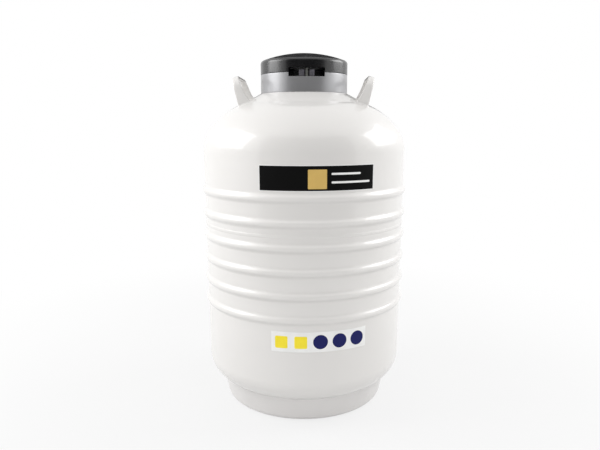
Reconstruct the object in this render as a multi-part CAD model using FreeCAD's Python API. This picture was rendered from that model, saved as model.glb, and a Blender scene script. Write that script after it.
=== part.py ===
import FreeCAD, Part

import math
import os

# Liquid nitrogen storage dewar of the 20 litre class, with six canisters hung in the neck.
# Sizes are in millimetres. Z is up, the floor is z = 0 and the handles stand at +X and -X.

# Outer shell: a beaded cylinder with a dished bottom and a domed shoulder
shell_radius = 180.0
shell_wall = 3.0
bead_height = 4.0
bead_half_width = 10.0
bead_pitch = 39.55
top_bead_z = 391.8
upper_bead_count = 2
lower_bead_count = 4
bottom_z = 84.25
bottom_knuckle = 44.3
bottom_crown = 630.0
shoulder_z = 459.4
shoulder_knuckle = 61.6
shoulder_crown = 139.3
shoulder_break_slope = 50.4
boss_foot_inset = 73.0
boss_slope = 27.8
boss_fillet = 60.0
girth_weld_width = 7.0
girth_weld_crest = 3.0
girth_weld_height = 0.8

# Foot ring: a leaning band with its lower edge rolled in
foot_inset = 33.0
foot_lean = 11.3
foot_bend = 10.0
foot_wall = 3.0
foot_flange_width = 20.0
stitch_count = 4
stitch_size = 2.2
stitch_length = 24.4
stitch_turn_angle = -2.6

# Carrying handles: a flat strap bent to a stirrup that leans outwards
handle_inset = 70.6
handle_span = 122.0
handle_height = 51.2
handle_lean = 12.9
handle_thickness = 4.0
handle_top_width = 10.8
handle_flare_radius = 118.0
handle_flare_above = 3.5
handle_corner = 22.0
handle_root_depth = 12.0
handle_weld_width = 3.0
handle_weld_height = 2.5

# Neck: opening in the shell, turned flange and glass fibre neck tube
neck_turn = 5.1
neck_bore_radius = 27.5
neck_tube_wall = 1.5
neck_hole_radius = 44.0
flange_radius = 61.0
flange_step_radius = 52.0
flange_skirt = 10.0
flange_rise = 12.3
flange_step = 4.0

# Collar round the neck, its window and the screws that hold it
collar_radius = 76.2
collar_wall = 3.0
collar_rise = 11.2
collar_web = 3.0
collar_gap = 0.2
window_width = 60.0
collar_notch = 6.6
lid_notch = 7.2
collar_screw_count = 6
collar_screw_angle = 15.0
collar_screw_radius = 2.0
collar_screw_head_radius = 3.4
collar_screw_head = 2.4
collar_screw_length = 5.0

# Padlock hasp: a tab on the collar between two lugs on the lid
tab_thickness = 3.8
tab_inset = 1.2
tab_depth = 13.0
tab_foot_width = 16.0
tab_foot_thickness = 2.0
tab_foot_gap = 1.0
tab_top_gap = 1.7
lug_gap = 2.7
lug_width = 8.1
lug_plate = 1.2
lug_foot_gap = 0.9
padlock_hole_radius = 3.3
padlock_drop = 8.4

# Lid: a domed moulding with a lip inside the collar and a pocket for the hasp
lid_gap = 0.3
lid_wall = 3.0
lid_side = 17.65
lid_edge_radius = 6.0
lid_dome_radius = 208.0
lid_lip = 7.5
lid_lip_gap = 0.5
lid_jog = 4.0
pocket_wall = 2.5
pocket_slot = 3.6
pocket_gap = 0.5
lid_boss_radius = 9.0
lid_rib_count = 6
lid_rib_thickness = 2.0

# Neck plug under the lid
plug_gap = 1.2
plug_depth = 77.0
plug_head = 19.0
plug_taper = 1.0
plug_edge = 3.0
carrier_radius = 40.0
carrier_thickness = 3.0
carrier_screw_radius = 2.5
carrier_screw_head_radius = 5.0
carrier_screw_head = 3.5
carrier_screw_length = 13.0

# Inner vessel, hung from the neck tube
vacuum_gap = 31.0
vessel_wall = 2.0
vessel_floor_gap = 40.0
vessel_bottom_knuckle = 35.0
vessel_bottom_crown = 300.0
vessel_shoulder_z = 370.0
vessel_top_knuckle = 45.0
vessel_top_crown = 230.0
vessel_girth_z = 250.0
vessel_ring_width = 5.0
vessel_ring_below = 8.0
vessel_ring_above = 10.0

# Insulation in the vacuum space
blanket_thickness = 22.0
blanket_gap = 1.0
blanket_neck_radius = 42.0
blanket_neck_margin = 8.0
adsorbent_inner_radius = 30.0
adsorbent_outer_radius = 60.0
adsorbent_depth = 10.0

# Evacuation port in the middle of the underside
port_radius = 14.0
port_wall = 4.0
port_outside = 13.0
port_inside = 6.0
port_plug_depth = 12.0
port_plug_recess = 1.0
port_plug_gap = 0.2
port_ring_radius = 1.2
port_cap_wall = 2.5
port_cap_gap = 0.3
port_cap_height = 12.0

# Index ring on the neck flange, with a groove for each canister's hook
index_inner_gap = 1.2
index_outer_gap = 4.0
index_thickness = 10.0
index_edge = 1.0
groove_depth = 3.0
groove_clearance = 0.3

# Canisters, their handles and the spider that keeps them apart
canister_count = 6
canister_radius = 19.0
canister_wall = 0.8
canister_floor = 1.2
canister_height = 276.0
canister_floor_gap = 7.5
rod_radius = 1.5
rod_neck_gap = 0.3
rod_cup_gap = 0.2
rod_seat_gap = 0.2
rod_bend = 4.0
rod_tip = 3.1
rod_tuck = 0.5
clip_height = 50.0
clip_thickness = 1.2
clip_half_angle = 30.0
clip_below_rim = 4.0
spider_margin = 6.6
spider_thickness = 2.0
spider_height = 18.0
spider_hole_gap = 0.8
spider_post_radius = 5.0
spider_foot_radius = 3.0
spider_foot_count = 3
spider_foot_inset = 3.6

# Labels: a black one above the beads and a white strip with five marks below them
label_thickness = 0.3
label_gap = 0.1
front_label_low = 403.7
front_label_high = 444.0
front_label_width = 189.8
front_label_angle = 9.0
strip_low = 141.2
strip_high = 175.8
strip_width = 163.4
strip_angle = 10.3

# Levels and radii worked out from the sizes above
bead_arc = (bead_half_width ** 2 + bead_height ** 2) / (4 * bead_height)
girth_z = top_bead_z - (upper_bead_count - 0.5) * bead_pitch
boss_foot_radius = shell_radius - boss_foot_inset
foot_radius = shell_radius - foot_inset
foot_flange_radius = foot_radius - foot_flange_width
handle_reach = shell_radius - handle_inset
tab_outer_radius = collar_radius - tab_inset
tab_inner_radius = tab_outer_radius - tab_depth
padlock_circle = (tab_inner_radius + tab_outer_radius) / 2
collar_screw_circle = (flange_step_radius + flange_radius) / 2
vessel_radius = shell_radius - shell_wall - vacuum_gap
neck_tube_radius = neck_bore_radius + neck_tube_wall
vessel_ring_radius = neck_tube_radius + vessel_ring_width
index_inner_radius = neck_tube_radius + index_inner_gap
index_outer_radius = flange_step_radius - index_outer_gap
rod_circle = neck_bore_radius - rod_neck_gap - rod_radius
plug_radius = rod_circle - rod_radius - plug_gap
canister_circle = rod_circle + canister_radius + rod_cup_gap + rod_radius
spider_radius = canister_circle + canister_radius + spider_margin
UP = FreeCAD.Vector(0, 0, 1)
ORIGIN = FreeCAD.Vector(0, 0, 0)


def polar(centre, radius, angle):
    """The point of a circle in the profile plane at an angle in degrees."""
    turn = math.radians(angle)
    return (centre[0] + radius * math.cos(turn), centre[1] + radius * math.sin(turn))


def point(place):
    """A profile point (distance from the axis, height) as a vector."""
    return FreeCAD.Vector(place[0], 0, place[1])


def arc_edge(centre, radius, first, last):
    """An arc of the profile from one angle to another."""
    middle = (first + last) / 2
    ends = [point(polar(centre, radius, angle)) for angle in (first, middle, last)]
    return Part.Arc(*ends).toShape()


def backwards(items):
    """The same stretch of outline, run the other way."""
    flipped = []
    for item in reversed(items):
        flipped.append(item if len(item) == 2 else (item[0], item[1], item[3], item[2]))
    return flipped


def first_point(item):
    return item if len(item) == 2 else polar(item[0], item[1], item[2])


def last_point(item):
    return item if len(item) == 2 else polar(item[0], item[1], item[3])


def outline_face(items):
    """A flat face from a closed outline of points and arcs, joined by straight edges."""
    edges = []
    for item, following in zip(items, items[1:] + items[:1]):
        if len(item) == 4:
            edges.append(arc_edge(*item))
        start = last_point(item)
        end = first_point(following)
        if math.dist(start, end) > 1e-6:
            edges.append(Part.LineSegment(point(start), point(end)).toShape())
    return Part.Face(Part.Wire(edges))


def turned(items, angle=360.0):
    """A solid of revolution about the Z axis from a closed outline."""
    return outline_face(items).revolve(ORIGIN, UP, angle)


def tube(inner, outer, low, high):
    """A plain ring, or a disc where the inner radius is 0."""
    return turned([(inner, low), (outer, low), (outer, high), (inner, high)])


def rod(radius, low, high, x=0.0, y=0.0):
    return Part.makeCylinder(radius, high - low, FreeCAD.Vector(x, y, low), UP)


def block(x0, x1, y0, y1, z0, z1):
    return Part.makeBox(x1 - x0, y1 - y0, z1 - z0, FreeCAD.Vector(x0, y0, z0))


def spun(shape, angle):
    """A copy of the shape turned about the Z axis."""
    copy = shape.copy()
    copy.rotate(ORIGIN, UP, angle)
    return copy


def around(shape, count, start=0.0):
    """Copies of the shape, spaced evenly round the Z axis."""
    return [spun(shape, start + index * 360.0 / count) for index in range(count)]


def on_circle(radius, angle):
    turn = math.radians(angle)
    return (radius * math.cos(turn), radius * math.sin(turn))


def dished_head(radius, knuckle, crown, level, side, inset, hole):
    """A head of two arcs from the cylinder to a hole; side is 1 for a top and -1 for a bottom."""
    reach = math.sqrt((crown - knuckle) ** 2 - (radius - knuckle) ** 2)
    meet = side * math.degrees(math.atan2(reach, radius - knuckle))
    finish = side * math.degrees(math.acos(hole / (crown - inset)))
    return [
        ((radius - knuckle, level), knuckle - inset, 0, meet),
        ((0, level - side * reach), crown - inset, meet, finish),
    ]


def head_height(radius, knuckle, crown, level, side, inset, at):
    """The height of a dished head's face at a distance from the axis."""
    reach = math.sqrt((crown - knuckle) ** 2 - (radius - knuckle) ** 2)
    return level + side * (math.sqrt((crown - inset) ** 2 - at ** 2) - reach)


# The shoulder's crown arc and the conical boss that rises from it to the neck
shoulder_centre = (shell_radius - shoulder_knuckle, shoulder_z)
crown_centre = polar(shoulder_centre, shoulder_knuckle - shoulder_crown, 90 - shoulder_break_slope)


def crown_height(at):
    """The height of the shoulder's crown at a distance from the axis."""
    return crown_centre[1] + math.sqrt(shoulder_crown ** 2 - (at - crown_centre[0]) ** 2)


def boss_height(at):
    """The height of the conical boss at a distance from the axis."""
    fall = math.tan(math.radians(boss_slope))
    return crown_height(boss_foot_radius) - (at - boss_foot_radius) * fall


def boss_fillet_centre():
    """The centre of the hollow fillet that touches the crown and the boss."""
    slope = math.radians(boss_slope)
    start = (boss_foot_radius + boss_fillet * math.sin(slope),
             boss_height(boss_foot_radius) + boss_fillet * math.cos(slope))
    away = (start[0] - crown_centre[0], start[1] - crown_centre[1])
    along = away[0] * math.cos(slope) - away[1] * math.sin(slope)
    spare = away[0] ** 2 + away[1] ** 2 - (shoulder_crown + boss_fillet) ** 2
    shift = -along + math.copysign(math.sqrt(along ** 2 - spare), along)
    return (start[0] + shift * math.cos(slope), start[1] - shift * math.sin(slope))


def bead(level, inset):
    """One rolled bead, from below to above: a hollow arc, the crest and a hollow arc."""
    bend = math.degrees(math.atan2(bead_half_width / 2, bead_arc - bead_height / 2))
    side = shell_radius + bead_arc
    crest = shell_radius + bead_height - bead_arc
    return [
        ((side, level - bead_half_width), bead_arc + inset, 180, 180 - bend),
        ((crest, level), bead_arc - inset, -bend, bend),
        ((side, level + bead_half_width), bead_arc + inset, 180 + bend, 180),
    ]


def upper_contour(inset):
    """The shell from the girth weld up to the neck hole, at a depth inside the outer face."""
    items = [(shell_radius - inset, girth_z)]
    for index in reversed(range(upper_bead_count)):
        items += bead(top_bead_z - index * bead_pitch, inset)
    centre = boss_fillet_centre()
    crown_end = math.degrees(math.atan2(centre[1] - crown_centre[1], centre[0] - crown_centre[0]))
    break_angle = 90 - shoulder_break_slope
    fall = inset / math.cos(math.radians(boss_slope))
    items.append((shoulder_centre, shoulder_knuckle - inset, 0, break_angle))
    items.append((crown_centre, shoulder_crown - inset, break_angle, crown_end))
    items.append((centre, boss_fillet + inset, crown_end + 180, 270 - boss_slope))
    items.append((neck_hole_radius, boss_height(neck_hole_radius) - fall))
    return items


def lower_contour(inset):
    """The shell from the girth weld down to the port hole, at a depth inside the outer face."""
    items = [(shell_radius - inset, girth_z)]
    for index in range(upper_bead_count, upper_bead_count + lower_bead_count):
        items += backwards(bead(top_bead_z - index * bead_pitch, inset))
    return items + dished_head(shell_radius, bottom_knuckle, bottom_crown, bottom_z, -1, inset, port_radius)


def shell_body(inset):
    """The whole outer shell as a filled body, for cutting what stands against it."""
    items = backwards(lower_contour(inset)) + upper_contour(inset)[1:]
    return turned([(0, first_point(items[0])[1])] + items + [(0, last_point(items[-1])[1])])


def underside(at):
    """The height of the shell's underside at a distance from the axis."""
    return head_height(shell_radius, bottom_knuckle, bottom_crown, bottom_z, -1, 0, at)


# Levels of the neck, all carried by the boss
collar_foot_z = boss_height(collar_radius)
flange_top_z = boss_height(flange_radius) + flange_rise
collar_top_z = flange_top_z + collar_rise
flange_step_z = flange_top_z - flange_step
web_top_z = flange_step_z + collar_web
index_top_z = flange_top_z + index_thickness
lid_foot_z = collar_top_z + lid_gap
lid_lip_z = lid_foot_z - lid_lip
lid_edge_z = lid_foot_z + lid_side
lid_notch_z = lid_foot_z + lid_notch
window_z = collar_top_z - collar_notch
lug_top_z = lid_notch_z - pocket_slot
padlock_z = lid_notch_z - padlock_drop
carrier_z = flange_top_z + plug_head

# Levels of the inner vessel
vessel_reach = math.sqrt((vessel_bottom_crown - vessel_bottom_knuckle) ** 2
                         - (vessel_radius - vessel_bottom_knuckle) ** 2)
vessel_low_z = underside(0) + shell_wall + vessel_floor_gap
vessel_bottom_z = vessel_low_z + vessel_bottom_crown - vessel_reach


def vessel_upper_contour(inset, hole=vessel_ring_radius):
    head = dished_head(vessel_radius, vessel_top_knuckle, vessel_top_crown, vessel_shoulder_z, 1, inset, hole)
    return [(vessel_radius - inset, vessel_girth_z)] + head


def vessel_lower_contour(inset):
    head = dished_head(vessel_radius, vessel_bottom_knuckle, vessel_bottom_crown, vessel_bottom_z,
                       -1, inset, 0)
    return [(vessel_radius - inset, vessel_girth_z)] + head


def vessel_body(inset):
    """The inner vessel as a filled body."""
    items = backwards(vessel_lower_contour(inset)) + vessel_upper_contour(inset)[1:]
    return turned(items + [(0, last_point(items[-1])[1])])


def vessel_floor(at):
    """The height of the inner vessel's inside floor at a distance from the axis."""
    return head_height(vessel_radius, vessel_bottom_knuckle, vessel_bottom_crown,
                       vessel_bottom_z, -1, vessel_wall, at)


vessel_ring_z = head_height(vessel_radius, vessel_top_knuckle, vessel_top_crown,
                            vessel_shoulder_z, 1, 0, vessel_ring_radius)
neck_foot_z = vessel_ring_z - vessel_ring_below
canister_z = vessel_floor(0) + canister_floor_gap
canister_rim_z = canister_z + canister_height
hook_z = index_top_z - groove_depth + rod_seat_gap + rod_radius


def outer_shell_upper():
    return turned(upper_contour(0) + backwards(upper_contour(shell_wall)))


def outer_shell_lower():
    return turned(lower_contour(0) + backwards(lower_contour(shell_wall)))


def girth_weld():
    """A low bead over the joint of the two shell halves."""
    half = girth_weld_width / 2
    crest = girth_weld_crest / 2
    return turned([
        (shell_radius, girth_z - half),
        (shell_radius + girth_weld_height, girth_z - crest),
        (shell_radius + girth_weld_height, girth_z + crest),
        (shell_radius, girth_z + half),
    ])


def foot_ring():
    """The rolled band under the shell, cut to the shell's underside."""
    lean = math.radians(foot_lean)
    bend_r = foot_radius + foot_bend * math.tan(lean) - foot_bend / math.cos(lean)
    bend_centre = (bend_r, foot_bend)
    outer = (foot_radius + bottom_z * math.tan(lean), bottom_z)
    inner = (outer[0] - foot_wall / math.cos(lean), bottom_z)
    band = turned([
        outer,
        (bend_centre, foot_bend, -foot_lean, -90),
        (foot_flange_radius, 0),
        (foot_flange_radius, foot_wall),
        (bend_centre, foot_bend - foot_wall, -90, -foot_lean),
        inner,
    ])
    return band.cut(shell_body(0))


def foot_ring_top():
    """Where the band's outer face meets the shell's bottom knuckle."""
    lean = math.tan(math.radians(foot_lean))
    level = bottom_z - bottom_knuckle
    for _ in range(20):
        at = foot_radius + level * lean
        side = at - (shell_radius - bottom_knuckle)
        level = bottom_z - math.sqrt(bottom_knuckle ** 2 - side ** 2)
    return (at, level)


def foot_ring_welds():
    """Short stitches along the corner between the foot ring and the shell."""
    corner = foot_ring_top()
    sweep = math.degrees(stitch_length / corner[0])
    stitch = turned([(corner, stitch_size, 0, 180), (corner, stitch_size, 180, 360)], sweep)
    stitches = around(stitch, stitch_count, stitch_turn_angle - sweep / 2 - 90)
    return Part.makeCompound(stitches).cut(shell_body(0)).cut(foot_ring())


def handle_root():
    """The outer edge of a leg where it meets the shoulder."""
    return (handle_reach, crown_height(math.hypot(handle_reach, handle_span / 2)))


def leaned(shape):
    """Move a shape from the handle's own upright frame to its place on the +X side."""
    root = handle_root()
    shape.rotate(ORIGIN, FreeCAD.Vector(0, 1, 0), handle_lean)
    shape.translate(FreeCAD.Vector(root[0], 0, root[1]))
    return shape


def strap_side(grow, top):
    """The strap seen along Y: straight outside, flaring inwards towards its foot."""
    flare_z = handle_height + handle_flare_above
    below = -handle_root_depth
    flare = handle_flare_radius - grow
    sweep = math.degrees(math.asin((flare_z - below) / flare))
    centre = (-handle_top_width - handle_flare_radius, flare_z)
    foot = polar(centre, flare, -sweep)
    upper = math.degrees(math.asin((flare_z - top) / flare))
    face = outline_face([
        (grow, foot[1]),
        (grow, top),
        (centre, flare, -upper, -sweep),
    ])
    face.translate(FreeCAD.Vector(0, -handle_span, 0))
    return face.extrude(FreeCAD.Vector(0, 2 * handle_span, 0))


def strap_arch(inset):
    """The filled arch of the stirrup seen along X, a distance inside its outer face."""
    half = handle_span / 2 - inset
    top = handle_height - inset
    corner = handle_corner - inset
    below = -handle_span
    face = outline_face([
        (half, below),
        ((half - corner, top - corner), corner, 0, 90),
        ((corner - half, top - corner), corner, 90, 180),
        (-half, below),
    ])
    face.rotate(ORIGIN, UP, 90)
    face.translate(FreeCAD.Vector(-handle_span, 0, 0))
    return face.extrude(FreeCAD.Vector(2 * handle_span, 0, 0))


def handle():
    """The +X handle: a strap arch cut to its side outline and seated on the shoulder."""
    strap = strap_arch(0).cut(strap_arch(handle_thickness))
    strap = strap.common(strap_side(0, handle_height + 1))
    return leaned(strap).cut(shell_body(0))


def handle_weld():
    """The weld round both feet of the +X handle, a low pad on the shoulder."""
    legs = strap_arch(-handle_weld_width).cut(strap_arch(handle_thickness + handle_weld_width))
    pads = leaned(legs.common(strap_side(handle_weld_width, handle_height / 2)))
    layer = shell_body(-handle_weld_height).cut(shell_body(0))
    return pads.common(layer).cut(handle())


def neck_flange():
    """The turned ring welded into the shell's neck hole; the tube is bonded in its bore."""
    body = turned([
        (neck_tube_radius, boss_height(neck_hole_radius) - flange_skirt),
        (neck_hole_radius, boss_height(neck_hole_radius) - flange_skirt),
        (neck_hole_radius, boss_height(neck_hole_radius)),
        (flange_radius, boss_height(flange_radius)),
        (flange_radius, flange_step_z),
        (flange_step_radius, flange_step_z),
        (flange_step_radius, flange_top_z),
        (neck_tube_radius, flange_top_z),
    ])
    hole = rod(collar_screw_radius, web_top_z - collar_screw_length, flange_step_z, *collar_screw_place())
    return body.cut(Part.makeCompound(around(hole, collar_screw_count)))


def neck_tube():
    return tube(neck_bore_radius, neck_tube_radius, neck_foot_z, flange_top_z)


def collar_screw_place():
    return on_circle(collar_screw_circle, collar_screw_angle)


def window_block(depth, low, high, clearance=0.0):
    """The space of the lock window in front of a given radius."""
    half = window_width / 2 + clearance
    return block(-half, half, -2 * collar_radius, -depth, low, high)


def neck_collar():
    """The grey ring on the boss: a wall, a web screwed to the flange and the window's notch."""
    inner = collar_radius - collar_wall
    ring = turned([
        (collar_radius, collar_foot_z),
        (collar_radius, collar_top_z),
        (inner, collar_top_z),
        (inner, web_top_z),
        (flange_step_radius + collar_gap, web_top_z),
        (flange_step_radius + collar_gap, flange_step_z),
        (inner, flange_step_z),
        (inner, boss_height(inner)),
    ])
    hole = rod(collar_screw_radius + collar_gap, flange_step_z - 1, web_top_z + 1, *collar_screw_place())
    ring = ring.cut(Part.makeCompound(around(hole, collar_screw_count)))
    return ring.cut(window_block(tab_inner_radius, window_z, collar_top_z + 1))


def collar_screw():
    """A pan head screw through the collar's web into the flange."""
    shank = rod(collar_screw_radius, web_top_z - collar_screw_length, web_top_z)
    dome = (collar_screw_head_radius ** 2 + collar_screw_head ** 2) / (2 * collar_screw_head)
    bend = math.degrees(math.asin(collar_screw_head_radius / dome))
    head = turned([
        (0, web_top_z),
        (collar_screw_head_radius, web_top_z),
        ((0, web_top_z + collar_screw_head - dome), dome, 90 - bend, 90),
    ])
    screw = shank.fuse(head)
    place = collar_screw_place()
    screw.translate(FreeCAD.Vector(place[0], place[1], 0))
    return screw


def collar_screws():
    return Part.makeCompound(around(collar_screw(), collar_screw_count))


def padlock_hole(reach):
    """The padlock's shackle hole, along X through the tab and the lugs."""
    start = FreeCAD.Vector(-reach, -padlock_circle, padlock_z)
    return Part.makeCylinder(padlock_hole_radius, 2 * reach, start, FreeCAD.Vector(1, 0, 0))


def hasp_tab():
    """The upright tab inside the collar, on a foot plate."""
    half = tab_thickness / 2
    tab = block(-half, half, -tab_outer_radius, -tab_inner_radius, web_top_z, lid_notch_z - tab_top_gap)
    corner = tube(0, tab_outer_radius, web_top_z, lid_notch_z)
    behind = tube(0, collar_radius - collar_wall, web_top_z, window_z)
    above = tube(0, tab_outer_radius, window_z, lid_notch_z)
    tab = tab.common(corner).common(behind.fuse(above))
    reach = collar_radius - collar_wall - tab_foot_gap
    foot = block(-tab_foot_width / 2, tab_foot_width / 2, -reach, -tab_inner_radius,
                 web_top_z, web_top_z + tab_foot_thickness)
    foot = foot.common(tube(0, collar_radius - collar_wall, web_top_z, lid_notch_z))
    return tab.fuse(foot).removeSplitter().cut(padlock_hole(tab_foot_width))


def lid_hasp():
    """The two lugs on their back plate, fixed to the pocket's back wall."""
    back = tab_inner_radius - pocket_gap
    low = window_z + lug_foot_gap
    outer = lug_gap + tab_thickness / 2 + lug_width
    inner = lug_gap + tab_thickness / 2
    plate = block(-outer, outer, -tab_inner_radius, 0, low, lug_top_z)
    plate = plate.common(tube(back - lug_plate, back, low, lug_top_z))
    lugs = []
    for side in (-1, 1):
        near, far = sorted((side * inner, side * outer))
        lug = block(near, far, -tab_outer_radius, 0, low, lug_top_z)
        lugs.append(lug.common(tube(back - lug_plate, tab_outer_radius, low, lug_top_z)))
    return plate.fuse(lugs).removeSplitter().cut(padlock_hole(window_width))


def lid_profile():
    """The lid's wall: dome, rounded edge, side, and a lip stepped in to enter the collar."""
    edge_centre = (collar_radius - lid_edge_radius, lid_edge_z)
    rise = math.sqrt((lid_dome_radius - lid_edge_radius) ** 2 - edge_centre[0] ** 2)
    dome_centre = (0, lid_edge_z - rise)
    meet = math.degrees(math.atan2(rise, edge_centre[0]))
    lip = collar_radius - collar_wall - lid_lip_gap
    inner = lip - lid_wall
    return [
        (dome_centre, lid_dome_radius, 90, meet),
        (edge_centre, lid_edge_radius, meet, 0),
        (collar_radius, lid_foot_z),
        (lip, lid_foot_z),
        (lip, lid_lip_z),
        (inner, lid_lip_z),
        (inner, lid_foot_z + lid_jog),
        (collar_radius - lid_wall, lid_foot_z + 2 * lid_jog),
        (edge_centre, lid_edge_radius - lid_wall, 0, meet),
        (dome_centre, lid_dome_radius - lid_wall, meet, 90),
    ]


def lid_filled():
    """The lid's outer form without its hollow, for trimming what is inside."""
    return turned(lid_profile()[:3] + [(0, lid_foot_z)])


def lid_pocket_wall():
    """The pocket's back wall and sides; a slot is left open between them and the window's top."""
    back = tab_inner_radius - pocket_gap - lug_plate
    ring = tube(back - pocket_wall, collar_radius - collar_wall - lid_lip_gap, lid_lip_z, lug_top_z)
    return ring.common(window_block(0, lid_lip_z, lug_top_z, pocket_wall))


def lid_pocket_space():
    back = tab_inner_radius - pocket_gap - lug_plate
    ring = tube(back, 2 * collar_radius, lid_lip_z - 1, lid_notch_z)
    return ring.common(window_block(0, lid_lip_z - 1, lid_notch_z))


def lid_cap():
    """The domed lid with its hasp pocket, the boss for the plug and stiffening ribs."""
    top = carrier_z + carrier_thickness
    inside = collar_radius - lid_wall
    boss = tube(0, lid_boss_radius, top, lid_edge_z + lid_edge_radius + lid_wall)
    rib = block(0, inside, -lid_rib_thickness / 2, lid_rib_thickness / 2,
                lid_edge_z - lid_wall, lid_edge_z + 4 * lid_edge_radius)
    ribs = around(rib, lid_rib_count)
    core = boss.fuse(ribs).common(lid_filled())
    hole = tube(0, carrier_screw_radius, top - 1, top + carrier_screw_length)
    cap = turned(lid_profile()).fuse([lid_pocket_wall(), core])
    return cap.cut(lid_pocket_space()).cut(hole)


def plug_carrier():
    """The disc between the lid's boss and the foam plug."""
    return tube(carrier_screw_radius, carrier_radius, carrier_z, carrier_z + carrier_thickness)


def carrier_screw():
    head = tube(0, carrier_screw_head_radius, carrier_z - carrier_screw_head, carrier_z)
    shank = tube(0, carrier_screw_radius, carrier_z - 1, carrier_z + carrier_screw_length)
    return head.fuse(shank).removeSplitter()


def neck_plug():
    """The foam plug, slightly tapered, with a pocket round the screw's head."""
    foot = flange_top_z - plug_depth
    tip = plug_radius - plug_taper
    return turned([
        (0, foot),
        ((tip - plug_edge, foot + plug_edge), plug_edge, -90, 0),
        (plug_radius, flange_top_z),
        (plug_radius, carrier_z),
        (carrier_screw_head_radius, carrier_z),
        (carrier_screw_head_radius, carrier_z - carrier_screw_head),
        (0, carrier_z - carrier_screw_head),
    ])


def inner_vessel_upper():
    return turned(vessel_upper_contour(0) + backwards(vessel_upper_contour(vessel_wall)))


def inner_vessel_lower():
    return turned(vessel_lower_contour(0) + backwards(vessel_lower_contour(vessel_wall)))


def inner_neck_ring():
    """The ring welded in the inner vessel's hole and bonded to the foot of the neck tube."""
    return tube(neck_tube_radius, vessel_ring_radius, neck_foot_z, vessel_ring_z + vessel_ring_above)


def superinsulation():
    """The foil blanket wrapped round the inner vessel and the foot of the neck tube."""
    grown = -blanket_gap - blanket_thickness
    top = boss_height(neck_hole_radius) - flange_skirt - blanket_neck_margin
    lower = backwards(vessel_lower_contour(grown))
    upper = vessel_upper_contour(grown, blanket_neck_radius)[1:]
    body = turned(lower + upper + [(blanket_neck_radius, top), (0, top)])
    core = tube(0, vessel_ring_radius + blanket_gap, vessel_bottom_z, top + 1)
    low = vessel_low_z - adsorbent_depth
    pocket = tube(adsorbent_inner_radius - blanket_gap, adsorbent_outer_radius + blanket_gap,
                  low - blanket_gap, vessel_bottom_z)
    return body.cut(vessel_body(-blanket_gap)).cut(core).cut(pocket)


def adsorbent_tray():
    """The tray of adsorbent under the inner vessel's floor."""
    low = vessel_low_z - adsorbent_depth
    return tube(adsorbent_inner_radius, adsorbent_outer_radius, low, vessel_bottom_z).cut(vessel_body(0))


def port_tube():
    """The evacuation port's tube, welded in the shell's port hole."""
    low = underside(port_radius) - port_outside
    return tube(port_radius - port_wall, port_radius, low, underside(port_radius) + shell_wall + port_inside)


def port_ring_z():
    return underside(port_radius) - port_outside + port_plug_recess + port_plug_depth / 2


def port_plug():
    """The vacuum plug in the port, grooved for its sealing ring."""
    low = underside(port_radius) - port_outside + port_plug_recess
    radius = port_radius - port_wall - port_plug_gap
    plug = tube(0, radius, low, low + port_plug_depth)
    groove = tube(radius - 2 * port_ring_radius + port_plug_gap, radius + 1,
                  port_ring_z() - port_ring_radius, port_ring_z() + port_ring_radius)
    return plug.cut(groove)


def port_ring():
    """The sealing ring in the plug's groove."""
    centre = (port_radius - port_wall - port_ring_radius, port_ring_z())
    return turned([(centre, port_ring_radius, 0, 180), (centre, port_ring_radius, 180, 360)])


def port_cap():
    """The protective cap pushed over the port."""
    inner = port_radius + port_cap_gap
    low = underside(port_radius) - port_outside
    return turned([
        (0, low - port_cap_wall),
        (inner + port_cap_wall, low - port_cap_wall),
        (inner + port_cap_wall, low - port_cap_wall + port_cap_height),
        (inner, low - port_cap_wall + port_cap_height),
        (inner, low),
        (0, low),
    ])


def index_ring():
    """The ring on the flange that spaces the canisters' hooks in radial grooves."""
    ring = turned([
        (index_inner_radius, flange_top_z),
        (index_outer_radius, flange_top_z),
        (index_outer_radius, index_top_z - index_edge),
        (index_outer_radius - index_edge, index_top_z),
        (index_inner_radius, index_top_z),
    ])
    half = rod_radius + groove_clearance
    groove = block(0, 2 * index_outer_radius, -half, half, index_top_z - groove_depth, index_top_z + 1)
    return ring.cut(Part.makeCompound(around(groove, canister_count)))


def canister():
    """The cup of the canister at angle 0."""
    outer = rod(canister_radius, canister_z, canister_rim_z)
    inner = rod(canister_radius - canister_wall, canister_z + canister_floor, canister_rim_z + 1)
    cup = outer.cut(inner)
    cup.translate(FreeCAD.Vector(canister_circle, 0, 0))
    return cup


def canister_rod():
    """The rod from the clip on the cup up the neck, over the index ring and down its outside."""
    clip_z = canister_rim_z - clip_below_rim - clip_height
    turn_out = (rod_circle + rod_bend, hook_z - rod_bend)
    turn_down = (index_outer_radius - rod_tuck, hook_z - rod_bend)
    tip = turn_down[0] + rod_bend
    path = Part.Wire([
        Part.LineSegment(point((rod_circle, clip_z)), point((rod_circle, turn_out[1]))).toShape(),
        arc_edge(turn_out, rod_bend, 180, 90),
        Part.LineSegment(point((turn_out[0], hook_z)), point((turn_down[0], hook_z))).toShape(),
        arc_edge(turn_down, rod_bend, 90, 0),
        Part.LineSegment(point((tip, turn_down[1])), point((tip, turn_down[1] - rod_tip))).toShape(),
    ])
    circle = Part.Wire(Part.Circle(point((rod_circle, clip_z)), UP, rod_radius).toShape())
    return path.makePipeShell([circle], True, False)


def canister_clip():
    """The curved plate that joins the rod to the cup's inner side."""
    low = canister_rim_z - clip_below_rim - clip_height
    plate = outline_face([
        (canister_radius, low),
        (canister_radius + clip_thickness, low),
        (canister_radius + clip_thickness, low + clip_height),
        (canister_radius, low + clip_height),
    ]).revolve(ORIGIN, UP, 2 * clip_half_angle)
    plate = spun(plate, 180 - clip_half_angle)
    plate.translate(FreeCAD.Vector(canister_circle, 0, 0))
    return plate


def canister_handle():
    return canister_rod().fuse(canister_clip()).removeSplitter()


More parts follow.
